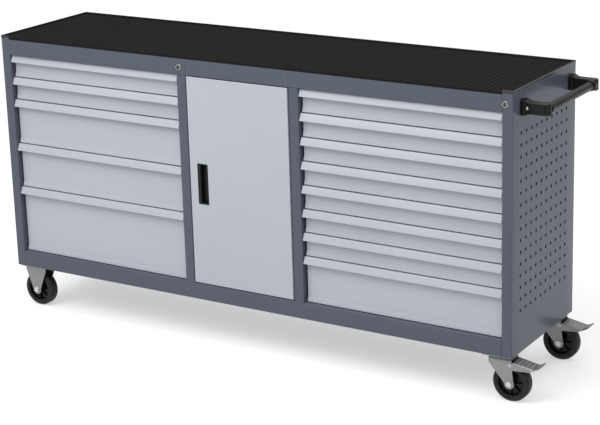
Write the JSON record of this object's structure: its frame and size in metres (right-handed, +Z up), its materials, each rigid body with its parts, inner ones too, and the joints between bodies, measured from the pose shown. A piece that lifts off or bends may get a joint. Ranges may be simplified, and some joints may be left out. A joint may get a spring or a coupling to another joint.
{
  "type": "workbench with drawers",
  "caption": "Mobile workshop bench with banks of drawers either side of a door cupboard, a ribbed rubber top, perforated sides, a push handle and braked swivel casters.",
  "frame": {"origin": "on the floor under the middle of the overall outline, handle included", "axes": "+X along the bench towards the push handle, +Y from front to back, +Z up"},
  "size_m": [2.081, 0.4786, 1.009],
  "materials": {
    "body_paint": "semi-gloss powder coat, blue-grey",
    "front_paint": "semi-gloss powder coat, light grey",
    "inner_steel": "galvanised sheet",
    "zinc": "zinc-plated pressings",
    "edge_trim": "moulded black edge trim",
    "mat_rubber": "finely ribbed black rubber sheet",
    "chrome": "bright plated",
    "black_plastic": "fine-grained moulded plastic",
    "bar_coating": "black powder-coated tube",
    "wheel_rubber": "dark solid rubber on a black centre"
  },
  "bodies": {
    "carcass": {"side_left": "body_paint", "side_right": "body_paint", "side_liners": "inner_steel", "back_panel": "body_paint", "base_box": "body_paint", "top_deck": "body_paint", "front_fascia": "body_paint", "partition_left": "body_paint", "partition_right": "body_paint", "cupboard_shelf": "inner_steel", "runners": "inner_steel", "top_rim": "edge_trim", "rubber_mat": "mat_rubber", "door_hinge_pins": "zinc", "lock_housings": "chrome", "handle_bracket_front": "black_plastic", "handle_bracket_rear": "black_plastic", "handle_bar": "bar_coating", "handle_screws": "chrome", "fixed_caster_forks": "zinc", "swivel_caster_plates": "zinc"},
    "drawer_left_1": {"drawer_left_1_tray": "inner_steel", "drawer_left_1_front": "front_paint"},
    "drawer_left_2": {"drawer_left_2_tray": "inner_steel", "drawer_left_2_front": "front_paint"},
    "drawer_left_3": {"drawer_left_3_tray": "inner_steel", "drawer_left_3_front": "front_paint"},
    "drawer_left_4": {"drawer_left_4_tray": "inner_steel", "drawer_left_4_front": "front_paint"},
    "drawer_left_5": {"drawer_left_5_tray": "inner_steel", "drawer_left_5_front": "front_paint"},
    "drawer_right_1": {"drawer_right_1_tray": "inner_steel", "drawer_right_1_front": "front_paint"},
    "drawer_right_2": {"drawer_right_2_tray": "inner_steel", "drawer_right_2_front": "front_paint"},
    "drawer_right_3": {"drawer_right_3_tray": "inner_steel", "drawer_right_3_front": "front_paint"},
    "drawer_right_4": {"drawer_right_4_tray": "inner_steel", "drawer_right_4_front": "front_paint"},
    "drawer_right_5": {"drawer_right_5_tray": "inner_steel", "drawer_right_5_front": "front_paint"},
    "drawer_right_6": {"drawer_right_6_tray": "inner_steel", "drawer_right_6_front": "front_paint"},
    "drawer_right_7": {"drawer_right_7_tray": "inner_steel", "drawer_right_7_front": "front_paint"},
    "drawer_right_8": {"drawer_right_8_tray": "inner_steel", "drawer_right_8_front": "front_paint"},
    "door": {"door_panel": "front_paint", "door_pull": "black_plastic"},
    "lock_left": {"lock_plug_left": "chrome"},
    "lock_right": {"lock_plug_right": "chrome"},
    "swivel_front": {"swivel_fork_front": "zinc"},
    "pedal_front": {"brake_pedal_front": "zinc"},
    "swivel_rear": {"swivel_fork_rear": "zinc"},
    "pedal_rear": {"brake_pedal_rear": "zinc"},
    "wheel_left_front": {"wheel_left_front": "wheel_rubber"},
    "wheel_left_rear": {"wheel_left_rear": "wheel_rubber"},
    "wheel_right_front": {"wheel_right_front": "wheel_rubber"},
    "wheel_right_rear": {"wheel_right_rear": "wheel_rubber"}
  },
  "joints": [
    {"name": "drawer_left_1_slide", "type": "slide", "parent": "carcass", "child": "drawer_left_1", "axis": [0, -1, 0], "range_m": [0, 0.33]},
    {"name": "drawer_left_2_slide", "type": "slide", "parent": "carcass", "child": "drawer_left_2", "axis": [0, -1, 0], "range_m": [0, 0.33]},
    {"name": "drawer_left_3_slide", "type": "slide", "parent": "carcass", "child": "drawer_left_3", "axis": [0, -1, 0], "range_m": [0, 0.33]},
    {"name": "drawer_left_4_slide", "type": "slide", "parent": "carcass", "child": "drawer_left_4", "axis": [0, -1, 0], "range_m": [0, 0.33]},
    {"name": "drawer_left_5_slide", "type": "slide", "parent": "carcass", "child": "drawer_left_5", "axis": [0, -1, 0], "range_m": [0, 0.33]},
    {"name": "drawer_right_1_slide", "type": "slide", "parent": "carcass", "child": "drawer_right_1", "axis": [0, -1, 0], "range_m": [0, 0.33]},
    {"name": "drawer_right_2_slide", "type": "slide", "parent": "carcass", "child": "drawer_right_2", "axis": [0, -1, 0], "range_m": [0, 0.33]},
    {"name": "drawer_right_3_slide", "type": "slide", "parent": "carcass", "child": "drawer_right_3", "axis": [0, -1, 0], "range_m": [0, 0.33]},
    {"name": "drawer_right_4_slide", "type": "slide", "parent": "carcass", "child": "drawer_right_4", "axis": [0, -1, 0], "range_m": [0, 0.33]},
    {"name": "drawer_right_5_slide", "type": "slide", "parent": "carcass", "child": "drawer_right_5", "axis": [0, -1, 0], "range_m": [0, 0.33]},
    {"name": "drawer_right_6_slide", "type": "slide", "parent": "carcass", "child": "drawer_right_6", "axis": [0, -1, 0], "range_m": [0, 0.33]},
    {"name": "drawer_right_7_slide", "type": "slide", "parent": "carcass", "child": "drawer_right_7", "axis": [0, -1, 0], "range_m": [0, 0.33]},
    {"name": "drawer_right_8_slide", "type": "slide", "parent": "carcass", "child": "drawer_right_8", "axis": [0, -1, 0], "range_m": [0, 0.33]},
    {"name": "door_hinge", "type": "hinge", "parent": "carcass", "child": "door", "pos_m": [0.1405, -0.22675, 0.5765], "axis": [0, 0, 1], "range_deg": [0, 90]},
    {"name": "lock_left_turn", "type": "hinge", "parent": "carcass", "child": "lock_left", "pos_m": [-0.2755, -0.23575, 0.965], "axis": [0, -1, 0], "range_deg": [0, 90]},
    {"name": "lock_right_turn", "type": "hinge", "parent": "carcass", "child": "lock_right", "pos_m": [0.9195, -0.23575, 0.965], "axis": [0, -1, 0], "range_deg": [0, 90]},
    {"name": "swivel_front_turn", "type": "hinge", "parent": "carcass", "child": "swivel_front", "pos_m": [0.8895, -0.19075, 0.139], "axis": [0, 0, 1], "continuous": true},
    {"name": "pedal_front_press", "type": "hinge", "parent": "swivel_front", "child": "pedal_front", "pos_m": [0.9305, -0.19075, 0.126], "axis": [0, 1, 0], "range_deg": [0, 10]},
    {"name": "swivel_rear_turn", "type": "hinge", "parent": "carcass", "child": "swivel_rear", "pos_m": [0.8895, 0.19425, 0.139], "axis": [0, 0, 1], "continuous": true},
    {"name": "pedal_rear_press", "type": "hinge", "parent": "swivel_rear", "child": "pedal_rear", "pos_m": [0.9305, 0.19425, 0.126], "axis": [0, 1, 0], "range_deg": [0, 10]},
    {"name": "wheel_left_front_spin", "type": "hinge", "parent": "carcass", "child": "wheel_left_front", "pos_m": [-0.9745, -0.19075, 0.0625], "axis": [0, 1, 0], "continuous": true},
    {"name": "wheel_left_rear_spin", "type": "hinge", "parent": "carcass", "child": "wheel_left_rear", "pos_m": [-0.9745, 0.19425, 0.0625], "axis": [0, 1, 0], "continuous": true},
    {"name": "wheel_right_front_spin", "type": "hinge", "parent": "swivel_front", "child": "wheel_right_front", "pos_m": [0.9275, -0.19075, 0.0625], "axis": [0, 1, 0], "continuous": true},
    {"name": "wheel_right_rear_spin", "type": "hinge", "parent": "swivel_rear", "child": "wheel_right_rear", "pos_m": [0.9275, 0.19425, 0.0625], "axis": [0, 1, 0], "continuous": true}
  ]
}
